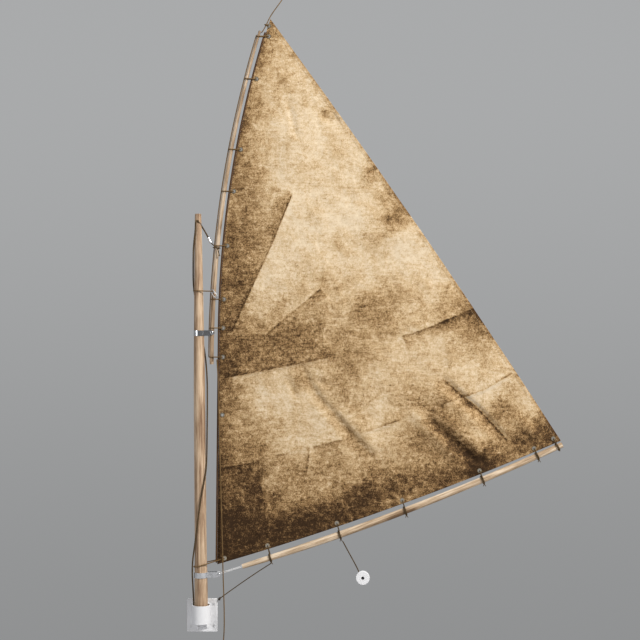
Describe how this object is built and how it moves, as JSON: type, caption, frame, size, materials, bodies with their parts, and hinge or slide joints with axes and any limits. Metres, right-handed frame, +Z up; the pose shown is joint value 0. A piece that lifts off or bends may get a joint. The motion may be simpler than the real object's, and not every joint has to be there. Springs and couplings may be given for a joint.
{
  "type": "small gunter sail rig",
  "caption": "Wall-hung gunter sail rig: round mast turning in a white wall socket, bent yard, boom on a rod gooseneck, laced canvas sail, snap hook and cords to wall pegs.",
  "frame": {"origin": "middle of the wall socket plate's back face, which lies on the wall", "axes": "+Z up along the mast, +X out along the boom, +Y into the wall"},
  "size_m": [1.0381, 0.0875, 1.902],
  "materials": {
    "white_plastic": "satin moulded",
    "plate_screw": "plain",
    "black_steel": "black",
    "mast_wood": "bare, aged",
    "spar_wood": "bare, aged",
    "band_steel": "polished",
    "bolt_steel": "bright",
    "canvas": "aged, stained cotton canvas",
    "bolt_rope": "laid rope",
    "eyelet_metal": "dull",
    "brown_cord": "laid cord",
    "dark_cord": "laid cord"
  },
  "bodies": {
    "wall_fittings": {"wall_socket": "white_plastic", "plate_screws": "plate_screw", "sheet_peg": "white_plastic", "sheet_peg_screw": "black_steel", "sheet_peg_hitch": "dark_cord", "head_peg": "white_plastic", "head_peg_screw": "black_steel", "head_peg_hitch": "brown_cord", "tack_peg": "white_plastic", "tack_peg_screw": "black_steel", "tack_peg_hitch": "brown_cord", "vang_screw_eye": "black_steel"},
    "rig": {"boom": "spar_wood", "boom_lashing_1": "brown_cord", "boom_lashing_2": "brown_cord", "boom_lashing_3": "brown_cord", "boom_lashing_4": "brown_cord", "boom_lashing_5": "brown_cord", "clew_eyelet": "eyelet_metal", "clew_lashing": "brown_cord", "downhaul": "brown_cord", "foot_eyelets": "eyelet_metal", "gooseneck_bolt": "bolt_steel", "gooseneck_nut": "bolt_steel", "gooseneck_rod": "bolt_steel", "halyard": "dark_cord", "halyard_ferrule": "bolt_steel", "halyard_strop": "dark_cord", "head_eyelet": "eyelet_metal", "head_lashing": "brown_cord", "head_line": "brown_cord", "luff_bolt_rope": "bolt_rope", "luff_eyelets": "eyelet_metal", "mast": "mast_wood", "mast_band_lower": "band_steel", "mast_band_upper": "band_steel", "parrel": "brown_cord", "sail": "canvas", "sheet": "dark_cord", "snap_hook": "bolt_steel", "tack_eyelet": "eyelet_metal", "tack_lashing": "brown_cord", "vang": "dark_cord", "yard": "spar_wood", "yard_bolt": "bolt_steel", "yard_lacing_lower": "brown_cord", "yard_lacing_upper": "brown_cord", "yard_nut": "bolt_steel"},
    "hook_gate": {"snap_gate": "bolt_steel"}
  },
  "joints": [
    {"name": "mast_turn", "type": "hinge", "parent": "wall_fittings", "child": "rig", "pos_m": [0, -0.036, 0], "axis": [0, 0, 1], "range_deg": [-45, 1], "deforming": ["head_line", "sheet", "vang", "downhaul"]},
    {"name": "hook_gate_swing", "type": "hinge", "parent": "rig", "child": "hook_gate", "pos_m": [0.02995, -0.0464, 0.89146], "axis": [0, 1, 0], "range_deg": [-28, 0], "stiffness_Nm_per_rad": 0.002, "springref_deg": 11.46}
  ]
}
